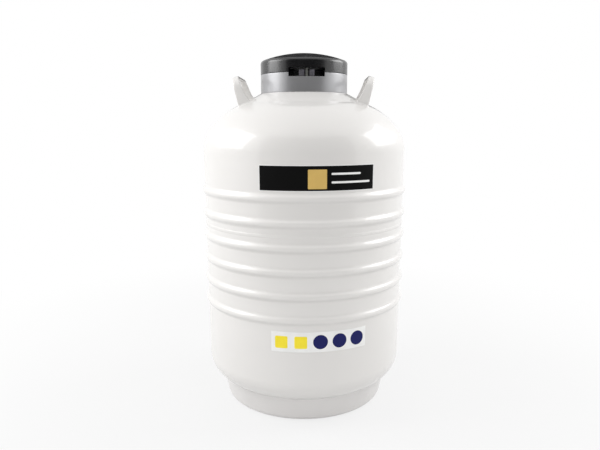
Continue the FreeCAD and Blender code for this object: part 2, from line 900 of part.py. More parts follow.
def canister_spider():
    """The plate that keeps the canisters' feet apart, on a post and three feet."""
    top = vessel_floor(0) + spider_height
    low = top - spider_thickness
    plate = tube(0, spider_radius, low, top)
    hole = rod(canister_radius + spider_hole_gap, low - 1, top + 1, canister_circle, 0)
    plate = plate.cut(Part.makeCompound(around(hole, canister_count)))
    foot = rod(spider_foot_radius, vessel_low_z, low, spider_radius - spider_foot_inset, 0)
    foot = spun(foot, 180.0 / canister_count)
    feet = around(foot, spider_foot_count)
    post = rod(spider_post_radius, vessel_low_z, low)
    return plate.fuse(feet + [post]).common(vessel_body(vessel_wall)).removeSplitter()


def curved_label(width, middle, low, high):
    """A thin label on the shell; the angle of its middle is measured from -Y towards +X."""
    sweep = math.degrees(width / shell_radius)
    inner = shell_radius + label_gap
    sheet = turned([
        (inner, low),
        (inner + label_thickness, low),
        (inner + label_thickness, high),
        (inner, high),
    ], sweep)
    return spun(sheet, middle - sweep / 2 - 90)


def front_label():
    return curved_label(front_label_width, front_label_angle, front_label_low, front_label_high)


def strip_label():
    return curved_label(strip_width, strip_angle, strip_low, strip_high)


def fixed_parts():
    """The pieces whose place doesn't depend on the neck's turn."""
    right = handle()
    right_weld = handle_weld()
    return {
        "outer_shell_upper": outer_shell_upper(),
        "outer_shell_lower": outer_shell_lower(),
        "girth_weld": girth_weld(),
        "foot_ring": foot_ring(),
        "foot_ring_welds": foot_ring_welds(),
        "handle_right": right,
        "handle_left": spun(right, 180),
        "handle_weld_right": right_weld,
        "handle_weld_left": spun(right_weld, 180),
        "neck_tube": neck_tube(),
        "inner_neck_ring": inner_neck_ring(),
        "inner_vessel_upper": inner_vessel_upper(),
        "inner_vessel_lower": inner_vessel_lower(),
        "superinsulation": superinsulation(),
        "adsorbent_tray": adsorbent_tray(),
        "port_tube": port_tube(),
        "port_plug": port_plug(),
        "port_seal_ring": port_ring(),
        "port_cap": port_cap(),
        "front_label": front_label(),
        "strip_label": strip_label(),
    }


def neck_parts():
    """The pieces that stand turned with the collar, as the lock window does."""
    parts = {
        "neck_flange": neck_flange(),
        "neck_collar": neck_collar(),
        "collar_screws": collar_screws(),
        "hasp_tab": hasp_tab(),
        "lid_hasp": lid_hasp(),
        "lid_cap": lid_cap(),
        "plug_carrier": plug_carrier(),
        "carrier_screw": carrier_screw(),
        "neck_plug": neck_plug(),
        "index_ring": index_ring(),
        "canister_spider": canister_spider(),
    }
    cups = around(canister(), canister_count)
    handles = around(canister_handle(), canister_count)
    for number, (cup, rod_shape) in enumerate(zip(cups, handles), start=1):
        parts["canister_%d" % number] = cup
        parts["canister_handle_%d" % number] = rod_shape
    return {name: spun(shape, neck_turn) for name, shape in parts.items()}


def main():
    os.makedirs("parts", exist_ok=True)
    parts = fixed_parts()
    parts.update(neck_parts())
    for name, shape in parts.items():
        shape.exportStep("parts/%s.step" % name)


main()
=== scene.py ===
import math

import bmesh
import bpy
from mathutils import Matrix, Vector, noise


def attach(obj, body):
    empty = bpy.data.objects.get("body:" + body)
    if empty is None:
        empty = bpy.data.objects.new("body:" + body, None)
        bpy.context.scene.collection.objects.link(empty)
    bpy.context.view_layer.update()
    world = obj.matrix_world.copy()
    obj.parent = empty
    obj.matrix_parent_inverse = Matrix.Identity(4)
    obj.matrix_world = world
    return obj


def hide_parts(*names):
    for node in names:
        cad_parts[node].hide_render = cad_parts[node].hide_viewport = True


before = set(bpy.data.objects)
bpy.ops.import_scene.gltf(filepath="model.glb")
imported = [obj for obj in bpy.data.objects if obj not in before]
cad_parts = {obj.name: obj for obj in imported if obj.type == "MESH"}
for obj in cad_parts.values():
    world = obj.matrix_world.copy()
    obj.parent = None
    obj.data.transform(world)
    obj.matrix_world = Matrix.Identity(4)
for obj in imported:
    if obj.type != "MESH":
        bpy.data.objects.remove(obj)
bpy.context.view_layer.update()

# A liquid nitrogen storage dewar. Sizes are in millimetres, as in the part's source, and
# become metres where a mesh is made. Z is up and the handles stand at +X and -X.
MM = 0.001
SEGMENTS = 256

# Outer shell
shell_radius = 180.0
shell_wall = 3.0
bead_height = 4.0
bead_half_width = 10.0
bead_pitch = 39.55
top_bead_z = 391.8
upper_bead_count = 2
lower_bead_count = 4
bottom_z = 84.25
bottom_knuckle = 44.3
bottom_crown = 630.0
shoulder_z = 459.4
shoulder_knuckle = 61.6
shoulder_crown = 139.3
shoulder_break_slope = 50.4
boss_foot_radius = 107.0
boss_slope = 27.8
boss_fillet = 60.0
girth_weld_width = 7.0
girth_weld_height = 0.8

# Foot ring and its stitch welds
foot_radius = 147.0
foot_lean = 11.3
foot_bend = 10.0
foot_wall = 3.0
foot_flange_radius = 127.0
stitch_count = 4
stitch_size = 2.2
stitch_length = 24.4
stitch_turn_angle = -2.6

# Handles
handle_reach = 109.4
handle_span = 122.0
handle_height = 51.2
handle_lean = 12.9
handle_thickness = 4.0
handle_top_width = 10.8
handle_flare_radius = 118.0
handle_flare_above = 3.5
handle_corner = 22.0
handle_edge = 1.2
handle_sink = 1.5
handle_weld_width = 3.0
handle_weld_height = 2.5

# Neck, collar and lid
neck_turn = 5.1
neck_hole_radius = 44.0
flange_radius = 61.0
flange_step_radius = 52.0
flange_rise = 12.3
flange_step = 4.0
port_radius = 14.0
collar_radius = 76.2
collar_wall = 3.0
collar_rise = 11.2
collar_web = 3.0
collar_gap = 0.2
collar_ease = 0.6
window_width = 60.0
collar_notch = 6.6
lid_notch = 7.2
tab_inner_radius = 62.0
lug_plate = 1.2
lid_gap = 0.3
lid_wall = 3.0
lid_side = 17.65
lid_edge_radius = 6.0
lid_dome_radius = 208.0
lid_lip = 7.5
lid_lip_gap = 0.5
lid_jog = 4.0
pocket_wall = 2.5
pocket_gap = 0.5
pocket_slot = 3.6
lid_boss_radius = 9.0
lid_rib_count = 6
lid_rib_thickness = 2.0
plug_head = 19.0
carrier_thickness = 3.0

# Labels: angles are measured from -Y towards +X
label_thickness = 0.3
label_gap = 0.1
label_border = 1.1
print_thickness = 0.06
front_label_low = 403.7
front_label_high = 444.0
front_label_width = 189.8
front_label_angle = 9.0
strip_low = 141.2
strip_high = 175.8
strip_width = 163.4
strip_angle = 10.3


def polar(centre, radius, angle):
    """The point of a circle in the profile plane at an angle in degrees."""
    turn = math.radians(angle)
    return (centre[0] + radius * math.cos(turn), centre[1] + radius * math.sin(turn))


def backwards(items):
    """The same stretch of outline, run the other way."""
    other_way = []
    for item in reversed(items):
        other_way.append(item if len(item) == 2 else (item[0], item[1], item[3], item[2]))
    return other_way


def trace(items, chord=3.0, bend=6.0, support=1.2):
    """Points along an outline of points and arcs, with a point near each end of a long straight."""
    points = []
    for item in items:
        run = [item]
        if len(item) == 4:
            centre, radius, first, last = item
            sweep = abs(last - first)
            count = math.ceil(max(sweep / bend, math.radians(sweep) * radius / chord))
            change = last - first
            run = [polar(centre, radius, first + change * i / count) for i in range(count + 1)]
        if points:
            gap = math.dist(points[-1], run[0])
            if gap < 1e-6:
                run = run[1:]
            elif gap > 4 * support:
                start = points[-1]
                for share in (support / gap, 1 - support / gap):
                    points.append(tuple(a + (b - a) * share for a, b in zip(start, run[0])))
        points += run
    return points


def eased(corners, ease):
    """A closed outline whose corners are rounded off; corners on the axis stay."""
    points = []
    for before, here, after in zip(corners[-1:] + corners[:-1], corners, corners[1:] + corners[:1]):
        if here[0] == 0:
            points.append(here)
            continue
        ends = []
        for other in (before, after):
            share = min(0.45, ease / math.dist(here, other))
            ends.append(tuple(a + (b - a) * share for a, b in zip(here, other)))
        for t in (0.0, 0.25, 0.5, 0.75, 1.0):
            weights = ((1 - t) ** 2, 2 * t * (1 - t), t ** 2)
            controls = (ends[0], here, ends[1])
            points.append(tuple(sum(w * p[k] for w, p in zip(weights, controls)) for k in (0, 1)))
    return points


def turned(outline, first=0.0, sweep=360.0, segments=SEGMENTS):
    """Rings of an outline turned about the Z axis."""
    count = segments if sweep == 360.0 else segments + 1
    rings = []
    for index in range(count):
        turn = math.radians(first + sweep * index / segments)
        rings.append([(r * math.cos(turn), r * math.sin(turn), z) for r, z in outline])
    return rings


def piece(name, rings, body="vessel", material=None, nodes=(), loop=True, sharp=40.0):
    """A closed skin through rings of points, riding on a body and standing for CAD nodes."""
    count = len(rings[0])
    points = [Vector(place) * MM for ring in rings for place in ring]
    faces = []
    for index in range(len(rings) if loop else len(rings) - 1):
        here = index * count
        there = (index + 1) % len(rings) * count
        for side in range(count):
            after = (side + 1) % count
            faces.append((here + side, here + after, there + after, there + side))
    if not loop:
        faces.append(tuple(range(count)))
        faces.append(tuple(range(len(points) - count, len(points))))
    mesh = bpy.data.meshes.new(name)
    mesh.from_pydata(points, [], faces)
    made = bpy.data.objects.new(name, mesh)
    bpy.context.scene.collection.objects.link(made)
    tidy(made, sharp)
    return dress(made, body, material, nodes)


def tidy(made, sharp=40.0):
    """Merge doubled points, turn the faces outwards and shade smoothly between sharp edges."""
    work = bmesh.new()
    work.from_mesh(made.data)
    bmesh.ops.remove_doubles(work, verts=work.verts, dist=1e-7)
    bmesh.ops.dissolve_degenerate(work, edges=work.edges, dist=1e-8)
    bmesh.ops.recalc_face_normals(work, faces=work.faces)
    work.to_mesh(made.data)
    work.free()
    made.data.shade_smooth()
    made.data.set_sharp_from_angle(angle=math.radians(sharp))


def dress(made, body, material, nodes=()):
    """Give a piece its material, body and the CAD nodes it stands for."""
    if material:
        made.data.materials.clear()
        made.data.materials.append(material)
    if body:
        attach(made, body)
    if nodes:
        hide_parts(*nodes)
    return made


def joined(first, others, name, sharp=40.0):
    """One piece made of several closed skins."""
    for other in others:
        work = bmesh.new()
        work.from_mesh(first.data)
        work.from_mesh(other.data)
        work.to_mesh(first.data)
        work.free()
        bpy.data.objects.remove(other)
    first.name = name
    first.data.shade_smooth()
    first.data.set_sharp_from_angle(angle=math.radians(sharp))
    return first


def combined(target, tool, operation, sharp=40.0):
    """Cut a tool from a piece or add it, and drop the tool."""
    change = target.modifiers.new("change", "BOOLEAN")
    change.operation = operation
    change.solver = "EXACT"
    change.object = tool
    bpy.context.view_layer.update()
    evaluated = target.evaluated_get(bpy.context.evaluated_depsgraph_get())
    mesh = bpy.data.meshes.new_from_object(evaluated)
    target.modifiers.clear()
    target.data = mesh
    bpy.data.objects.remove(tool)
    tidy(target, sharp)
    return target


def broken_edges(made, width, angle=50.0):
    """Round the sharp edges of a piece off."""
    bevel = made.modifiers.new("edges", "BEVEL")
    bevel.width = width * MM
    bevel.segments = 2
    bevel.limit_method = "ANGLE"
    bevel.angle_limit = math.radians(angle)
    bevel.harden_normals = True
    return made


def block(x0, x1, y0, y1, z0, z1):
    """A box to cut with or add, as a bare object."""
    rings = [[(x, y0, z0), (x, y1, z0), (x, y1, z1), (x, y0, z1)] for x in (x0, x1)]
    return piece("block", rings, body=None, loop=False)


# Materials. Every one is procedural and reads the object's own coordinates, in metres.

def surface(name, colour, roughness, **sockets):
    """A Principled material with constant values; sockets are named with underscores."""
    made = bpy.data.materials.new(name)
    made.use_nodes = True
    shader = made.node_tree.nodes["Principled BSDF"]
    shader.inputs["Base Color"].default_value = (*colour, 1.0)
    shader.inputs["Roughness"].default_value = roughness
    for socket, value in sockets.items():
        shader.inputs[socket.replace("_", " ")].default_value = value
    return made


def add(material, kind, **settings):
    """A new node in a material, with its settings."""
    node = material.node_tree.nodes.new(kind)
    for key, value in settings.items():
        setattr(node, key, value)
    return node


def grain(material, scale, stretch=(1.0, 1.0, 1.0), detail=3.0):
    """A field of noise; scale is features per metre and stretch lengthens them along an axis."""
    link = material.node_tree.links.new
    place = add(material, "ShaderNodeTexCoord")
    mapping = add(material, "ShaderNodeMapping")
    mapping.inputs["Scale"].default_value = [1.0 / s for s in stretch]
    field = add(material, "ShaderNodeTexNoise")
    field.inputs["Scale"].default_value = scale
    field.inputs["Detail"].default_value = detail
    link(place.outputs["Object"], mapping.inputs["Vector"])
    link(mapping.outputs["Vector"], field.inputs["Vector"])
    return field.outputs["Fac"]


def spread(material, field, low, high):
    """Stretch the middle of a noise field softly to a range of values."""
    span = add(material, "ShaderNodeMapRange", interpolation_type="SMOOTHSTEP")
    limits = (("From Min", 0.25), ("From Max", 0.75), ("To Min", low), ("To Max", high))
    for socket, value in limits:
        span.inputs[socket].default_value = value
    material.node_tree.links.new(field, span.inputs["Value"])
    return span.outputs["Result"]


def vary_colour(material, field, first, second):
    """Let the base colour wander between two colours."""
    mix = add(material, "ShaderNodeMix", data_type="RGBA")
    mix.inputs["A"].default_value = (*first, 1.0)
    mix.inputs["B"].default_value = (*second, 1.0)
    link = material.node_tree.links.new
    link(spread(material, field, 0.0, 1.0), mix.inputs["Factor"])
    link(mix.outputs["Result"], material.node_tree.nodes["Principled BSDF"].inputs["Base Color"])


def vary_roughness(material, field, low, high):
    """Let the roughness wander between two values."""
    shader = material.node_tree.nodes["Principled BSDF"]
    material.node_tree.links.new(spread(material, field, low, high), shader.inputs["Roughness"])


def relief(material, *layers):
    """Bump from several fields, each with its height in millimetres."""
    link = material.node_tree.links.new
    normal = None
    for field, height in layers:
        bump = add(material, "ShaderNodeBump")
        bump.inputs["Strength"].default_value = 1.0
        bump.inputs["Distance"].default_value = height * MM
        link(field, bump.inputs["Height"])
        if normal:
            link(normal, bump.inputs["Normal"])
        normal = bump.outputs["Normal"]
    link(normal, material.node_tree.nodes["Principled BSDF"].inputs["Normal"])


def painted(name, light, dark, roughness, peel=0.012, **sockets):
    """A sprayed and cured coat: soft colour variation and a faint orange peel."""
    made = surface(name, light, roughness, **sockets)
    vary_colour(made, grain(made, 7.0, detail=2.0), light, dark)
    vary_roughness(made, grain(made, 22.0), roughness - 0.03, roughness + 0.03)
    relief(made, (grain(made, 240.0), peel), (grain(made, 16.0, detail=1.0), 0.1))
    return made


def metal(name, colour, roughness, stretch, lines=900.0, height=0.006, **sockets):
    """A metal drawn, turned or brushed along one direction."""
    made = surface(name, colour, roughness, Metallic=1.0, **sockets)
    brushed = grain(made, lines, stretch)
    dark = [0.86 * c for c in colour]
    vary_colour(made, grain(made, 40.0), colour, dark)
    vary_roughness(made, brushed, roughness - 0.08, roughness + 0.08)
    relief(made, (brushed, height))
    return made


def moulded(name, colour, roughness, scale=1500.0, height=0.03, **sockets):
    """A moulded plastic with a fine spark-eroded grain."""
    made = surface(name, colour, roughness, **sockets)
    vary_colour(made, grain(made, 30.0), colour, [0.82 * c for c in colour])
    vary_roughness(made, grain(made, 60.0), roughness - 0.04, roughness + 0.04)
    relief(made, (grain(made, scale, detail=2.0), height))
    return made


def printed(name, colour, roughness=0.3, **sockets):
    """Ink on a vinyl label, with a faint unevenness."""
    made = surface(name, colour, roughness, **sockets)
    vary_colour(made, grain(made, 60.0), colour, [0.93 * c for c in colour])
    relief(made, (grain(made, 300.0), 0.01))
    return made


shell_paint = painted("shell_paint", (0.715, 0.70, 0.682), (0.70, 0.685, 0.667), 0.38,
                      Coat_Weight=0.8, Coat_Roughness=0.09)
ring_paint = painted("ring_paint", (0.69, 0.674, 0.662), (0.672, 0.656, 0.645), 0.42,
                     Coat_Weight=0.4, Coat_Roughness=0.16)
collar_paint = painted("collar_paint", (0.38, 0.38, 0.39), (0.35, 0.35, 0.36), 0.36, 0.04,
                       Metallic=0.6, Coat_Weight=0.1, Coat_Roughness=0.25)
lid_plastic = moulded("lid_plastic", (0.006, 0.006, 0.007), 0.25, Specular_IOR_Level=0.8)
hasp_steel = metal("hasp_steel", (0.42, 0.41, 0.46), 0.42, (1.0, 1.0, 12.0))
tab_metal = metal("tab_metal", (0.62, 0.63, 0.59), 0.38, (1.0, 12.0, 1.0))
screw_steel = metal("screw_steel", (0.58, 0.58, 0.57), 0.3, (8.0, 1.0, 1.0))
bare_aluminium = metal("bare_aluminium", (0.72, 0.73, 0.74), 0.34, (1.0, 1.0, 0.25), 500.0, 0.01)
canister_metal = metal("canister_metal", (0.62, 0.62, 0.61), 0.27, (1.0, 1.0, 14.0))
glass_fibre = moulded("glass_fibre", (0.34, 0.39, 0.18), 0.42, 700.0, 0.03)
foam = moulded("foam", (0.78, 0.77, 0.72), 0.85, 420.0, 0.25)
foil_blanket = metal("foil_blanket", (0.83, 0.83, 0.84), 0.25, (1.0, 1.0, 1.0), 90.0, 0.6)
adsorbent = moulded("adsorbent", (0.48, 0.45, 0.37), 0.9, 600.0, 0.4)
port_rubber = moulded("port_rubber", (0.02, 0.02, 0.02), 0.6)
port_plastic = moulded("port_plastic", (0.6, 0.6, 0.6), 0.5)
index_plastic = moulded("index_plastic", (0.74, 0.74, 0.71), 0.45)
label_black = printed("label_black", (0.005, 0.005, 0.005), 0.5, Specular_IOR_Level=0.06)
label_white = printed("label_white", (0.84, 0.84, 0.83), 0.36)
label_gold = printed("label_gold", (0.66, 0.44, 0.12), 0.36)
label_yellow = printed("label_yellow", (0.9, 0.74, 0.02), 0.34)
label_blue = printed("label_blue", (0.006, 0.009, 0.1), 0.45, Specular_IOR_Level=0.2)


# Heights of the shoulder and the boss, as in the part's source

shoulder_centre = (shell_radius - shoulder_knuckle, shoulder_z)
crown_centre = polar(shoulder_centre, shoulder_knuckle - shoulder_crown, 90 - shoulder_break_slope)
bead_arc = (bead_half_width ** 2 + bead_height ** 2) / (4 * bead_height)
girth_z = top_bead_z - (upper_bead_count - 0.5) * bead_pitch


def crown_height(at, below=0.0):
    """The height of the shoulder's crown at a distance from the axis."""
    radius = shoulder_crown - below
    return crown_centre[1] + math.sqrt(radius ** 2 - (at - crown_centre[0]) ** 2)


def boss_height(at):
    """The height of the conical boss at a distance from the axis."""
    fall = (at - boss_foot_radius) * math.tan(math.radians(boss_slope))
    return crown_height(boss_foot_radius) - fall


def boss_fillet_centre():
    """The centre of the hollow fillet that touches the crown and the boss."""
    slope = math.radians(boss_slope)
    start = (boss_foot_radius + boss_fillet * math.sin(slope),
             boss_height(boss_foot_radius) + boss_fillet * math.cos(slope))
    away = (start[0] - crown_centre[0], start[1] - crown_centre[1])
    along = away[0] * math.cos(slope) - away[1] * math.sin(slope)
    spare = away[0] ** 2 + away[1] ** 2 - (shoulder_crown + boss_fillet) ** 2
    shift = -along + math.copysign(math.sqrt(along ** 2 - spare), along)
    return (start[0] + shift * math.cos(slope), start[1] - shift * math.sin(slope))


collar_foot_z = boss_height(collar_radius)
flange_top_z = boss_height(flange_radius) + flange_rise
collar_top_z = flange_top_z + collar_rise
flange_step_z = flange_top_z - flange_step
web_top_z = flange_step_z + collar_web
lid_foot_z = collar_top_z + lid_gap
lid_lip_z = lid_foot_z - lid_lip
lid_edge_z = lid_foot_z + lid_side
lid_notch_z = lid_foot_z + lid_notch
window_z = collar_top_z - collar_notch
lug_top_z = lid_notch_z - pocket_slot
boss_foot_z = flange_top_z + plug_head + carrier_thickness


def bead(level, inset):
    """One rolled bead, from below to above: a hollow arc, the crest and a hollow arc."""
    bend = math.degrees(math.atan2(bead_half_width / 2, bead_arc - bead_height / 2))
    side = shell_radius + bead_arc
    crest = shell_radius + bead_height - bead_arc
    return [
        ((side, level - bead_half_width), bead_arc + inset, 180, 180 - bend),
        ((crest, level), bead_arc - inset, -bend, bend),
        ((side, level + bead_half_width), bead_arc + inset, 180 + bend, 180),
    ]


def upper_contour(inset):
    """The shell from the girth weld up to the neck hole."""
    items = [(shell_radius - inset, girth_z)]
    for index in reversed(range(upper_bead_count)):
        items += bead(top_bead_z - index * bead_pitch, inset)
    centre = boss_fillet_centre()
    crown_end = math.degrees(math.atan2(centre[1] - crown_centre[1], centre[0] - crown_centre[0]))
    break_angle = 90 - shoulder_break_slope
    fall = inset / math.cos(math.radians(boss_slope))
    items.append((shoulder_centre, shoulder_knuckle - inset, 0, break_angle))
    items.append((crown_centre, shoulder_crown - inset, break_angle, crown_end))
    items.append((centre, boss_fillet + inset, crown_end + 180, 270 - boss_slope))
    items.append((neck_hole_radius, boss_height(neck_hole_radius) - fall))
    return items


def lower_contour(inset):
    """The shell from the girth weld down to the port hole."""
    items = [(shell_radius - inset, girth_z)]
    for index in range(upper_bead_count, upper_bead_count + lower_bead_count):
        items += backwards(bead(top_bead_z - index * bead_pitch, inset))
    side = shell_radius - bottom_knuckle
    reach = math.sqrt((bottom_crown - bottom_knuckle) ** 2 - side ** 2)
    meet = -math.degrees(math.atan2(reach, side))
    finish = -math.degrees(math.acos(port_radius / (bottom_crown - inset)))
    items.append(((side, bottom_z), bottom_knuckle - inset, 0, meet))
    items.append(((0, bottom_z + reach), bottom_crown - inset, meet, finish))
    return items


def make_shell():
    """The two halves of the outer shell, each a closed wall."""
    for name, contour in (("shell_upper", upper_contour), ("shell_lower", lower_contour)):
        outline = trace(contour(0)) + trace(backwards(contour(shell_wall)), 6.0, 12.0)
        piece(name, turned(outline), "vessel", shell_paint, ["outer_" + name])


def make_girth_weld():
    """The weld round the shell, with the fine ripples of a turned joint under paint."""
    rings = []
    count = 1440
    half = girth_weld_width / 2
    for index in range(count):
        turn = math.radians(360.0 * index / count)
        flat = Vector((math.cos(turn), math.sin(turn), 0.0))
        wander = 0.5 * noise.noise(flat * 9.0)
        swell = 1.0 + 0.25 * noise.noise(flat * 40.0)
        ripple = 0.1 * math.sin(turn * 480 + 3 * noise.noise(flat * 30.0))
        ring = []
        for step in range(9):
            across = step / 4.0 - 1.0
            rise = (girth_weld_height * 0.8 * swell + ripple) * (1 - across ** 2) - 0.05
            reach = shell_radius + min(rise, girth_weld_height)
            ring.append((*(flat.xy * reach), girth_z + wander + across * half * 0.9))
        ring.append((*(flat.xy * (shell_radius - 1.0)), girth_z))
        rings.append(ring)
    piece("girth_weld_bead", rings, "vessel", shell_paint, ["girth_weld"])


def underside(at):
    """The height of the bottom knuckle's outer face at a distance from the axis."""
    side = shell_radius - bottom_knuckle
    if at > side:
        return bottom_z - math.sqrt(bottom_knuckle ** 2 - (at - side) ** 2)
    reach = math.sqrt((bottom_crown - bottom_knuckle) ** 2 - side ** 2)
    return bottom_z + reach - math.sqrt(bottom_crown ** 2 - at ** 2)


def foot_band(radius, wall):
    """Where a leaning band of the foot ring meets the shell's underside."""
    lean = math.tan(math.radians(foot_lean))
    level = bottom_z - bottom_knuckle
    for _ in range(30):
        level = underside(radius + level * lean - wall)
    return (radius + level * lean - wall, level)


def make_foot_ring():
    """The foot ring, a leaning band with its lower edge rolled in."""
    lean = math.radians(foot_lean)
    bend_r = foot_radius + foot_bend * math.tan(lean) - foot_bend / math.cos(lean)
    centre = (bend_r, foot_bend)
    edge = foot_wall / 2
    outer = foot_band(foot_radius, 0.0)
    inner = foot_band(foot_radius, foot_wall / math.cos(lean))
    outline = trace([
        (outer[0], outer[1] + 0.4),
        (centre, foot_bend, -foot_lean, -90),
        ((foot_flange_radius + edge, edge), edge, 270, 90),
        (centre, foot_bend - foot_wall, -90, -foot_lean),
        (inner[0], inner[1] + 0.4),
    ])
    piece("foot_ring_band", turned(outline), "vessel", ring_paint, ["foot_ring"])


def weld_bead(path, outwards, size, pitch, seed):
    """Rings of a round weld bead that swells from nothing at both ends of its path."""
    rings = []
    for index, (place, side) in enumerate(zip(path, outwards)):
        share = index / (len(path) - 1)
        end = math.sqrt(max(0.0, 1 - (2 * share - 1) ** 6))
        wander = noise.noise(place * 0.15 + Vector((seed, 0, 0)))
        wave = 0.08 * math.sin(share * pitch * 2 * math.pi) + 0.12 * wander
        radius = max(0.02, size * end * (0.92 + wave))
        up = Vector((0, 0, 1))
        ring = []
        for step in range(12):
            turn = math.radians(30.0 * step)
            ring.append(place + radius * (side * math.cos(turn) + up * math.sin(turn)))
        rings.append(ring)
    return rings


def make_stitches():
    """Short welds between the foot ring and the shell."""
    corner = foot_band(foot_radius, 0.0)
    sweep = math.degrees(stitch_length / corner[0])
    beads = []
    for index in range(stitch_count):
        start = stitch_turn_angle - sweep / 2 - 90 + index * 360.0 / stitch_count
        path, sides = [], []
        for step in range(41):
            turn = math.radians(start + sweep * step / 40)
            side = Vector((math.cos(turn), math.sin(turn), 0.0))
            path.append(side * (corner[0] - 0.3) + Vector((0, 0, corner[1])))
            sides.append(side)
        rings = weld_bead(path, sides, stitch_size, 9, index)
        beads.append(piece("stitch", rings, None, loop=False))
    welds = joined(beads[0], beads[1:], "foot_ring_stitches")
    dress(welds, "vessel", ring_paint, ["foot_ring_welds"])


# Handles: a strap in its own upright frame, u outwards and w up along the lean

root = (handle_reach, crown_height(math.hypot(handle_reach, handle_span / 2)))


def leaned(u, y, w):
    """A place in the handle's own frame as a place on the +X side."""
    turn = math.radians(handle_lean)
    return Vector((root[0] + u * math.cos(turn) + w * math.sin(turn), y,
                   root[1] - u * math.sin(turn) + w * math.cos(turn)))


def inner_edge(w):
    """The strap's inner edge, which flares towards its foot."""
    rise = handle_height + handle_flare_above - w
    return math.sqrt(handle_flare_radius ** 2 - rise ** 2) - handle_top_width - handle_flare_radius


def seat(u, y, below):
    """The height w at which the strap's line at (u, y) is that far under the shoulder's face."""
    w = 0.0
    for _ in range(40):
        place = leaned(u, y, w)
        w -= place.z - crown_height(math.hypot(place.x, place.y), below)
    return w


def strap_section(w):
    """The strap's rounded section: (u, distance outwards from its middle line)."""
    half = handle_thickness / 2
    inside = inner_edge(w)
    corners = [(-0.001, -half), (-0.001, half), (inside, half), (inside, -half)]
    return eased(corners, 1.6 * handle_edge)


def arch_path():
    """The strap's middle line: places (y, w) with their outward directions, foot to foot."""
    half = handle_span / 2 - handle_thickness / 2
    top = handle_height - handle_thickness / 2
    corner = handle_corner - handle_thickness / 2
    straight = top - corner
    rows = [(half, straight * step / 8, 1.0, 0.0) for step in range(1, 8)]
    for step in range(13):
        turn = math.radians(7.5 * step)
        across, up = math.cos(turn), math.sin(turn)
        rows.append((half - corner + corner * across, top - corner + corner * up, across, up))
    other = [(-y, w, -out_y, out_w) for y, w, out_y, out_w in reversed(rows)]
    return rows + other


def strap_rings():
    """Rings of the whole strap, its feet sunk in the shell's wall."""
    rows = arch_path()
    rings = []
    for y, w, out_y, out_w in rows:
        rings.append([leaned(u, y + out_y * v, w + out_w * v) for u, v in strap_section(w)])
    feet = []
    for y, _, out_y, _ in (rows[0], rows[-1]):
        foot = []
        for u, v in strap_section(-14.0):
            foot.append(leaned(u, y + out_y * v, seat(u, y + out_y * v, handle_sink)))
        feet.append(foot)
    return [feet[0]] + rings + [feet[1]]


def handle_weld_rings(side):
    """Rings of the fillet weld round one foot of the strap."""
    half = handle_span / 2 - handle_thickness / 2
    section = strap_section(-12.0)
    loop = []
    for index, (u, v) in enumerate(section):
        after = section[(index + 1) % len(section)]
        steps = max(1, round(math.dist((u, v), after) / 0.9))
        for step in range(steps):
            share = step / steps
            loop.append((u + (after[0] - u) * share, v + (after[1] - v) * share))
    rings = []
    count = len(loop)
    for index, (u, v) in enumerate(loop):
        before = Vector(loop[index - 3])
        after = Vector(loop[(index + 3) % count])
        along = (after - before).normalized()
        out = Vector((along.y, -along.x))
        y = side * (half + v)
        here = leaned(u, y, seat(u, y, 0.0))
        away_u = u + out.x * handle_weld_width
        away_y = side * (half + v + out.y * handle_weld_width)
        away = leaned(away_u, away_y, seat(away_u, away_y, 0.15))
        up = leaned(0, 0, 1) - leaned(0, 0, 0)
        wave = 1.0 + 0.07 * math.sin(index * 1.6) + 0.12 * noise.noise(here * 0.2)
        high = here + up * handle_weld_height * wave
        low = here + (away - here) * wave
        inside = here - up * 1.0 - (away - here) * 0.25
        ring = [inside, high - (away - here) * 0.25]
        for t in (0.0, 0.25, 0.5, 0.75, 1.0):
            chord = high * (1 - t) + low * t
            ring.append(chord + (here - chord) * 0.3 * math.sin(math.pi * t))
        rings.append(ring)
    return rings


def mirrored(rings):
    """The same rings on the -X side."""
    return [[Vector((-place[0], -place[1], place[2])) for place in ring] for ring in rings]


def make_handles():
    """Both straps and the fillet welds round their feet."""
    strap = strap_rings()
    welds = [handle_weld_rings(side) for side in (-1, 1)]
    for name, change in (("right", list), ("left", mirrored)):
        piece("handle_strap_" + name, change(strap), "vessel", shell_paint,
              ["handle_" + name], loop=False)
        pair = [piece("weld", change(rings), None) for rings in welds]
        both = joined(pair[0], pair[1:], "handle_fillet_" + name)
        dress(both, "vessel", shell_paint, ["handle_weld_" + name])


def turn_neck(made):
    """Turn a piece built square to the front by the neck's own turn."""
    cosine = math.cos(math.radians(neck_turn))
    sine = math.sin(math.radians(neck_turn))
    for vertex in made.data.vertices:
        x, y, z = vertex.co
        vertex.co = (x * cosine - y * sine, x * sine + y * cosine, z)
    return made


def make_collar():
    """The collar with its web and the lock window."""
    inner = collar_radius - collar_wall
    web = flange_step_radius + collar_gap
    outline = eased([
        (collar_radius, collar_foot_z),
        (collar_radius, collar_top_z),
        (inner, collar_top_z),
        (inner, web_top_z),
        (web, web_top_z),
        (web, flange_step_z),
        (inner, flange_step_z),
        (inner, boss_height(inner)),
    ], collar_ease)
    collar = piece("collar", turned(trace(outline + outline[:1])[:-1]), None)
    notch = block(-window_width / 2, window_width / 2, -2 * collar_radius, -tab_inner_radius,
                  window_z, collar_top_z + 5)
    combined(collar, notch, "DIFFERENCE")
    broken_edges(turn_neck(collar), 0.4)
    dress(collar, "vessel", collar_paint, ["neck_collar"])


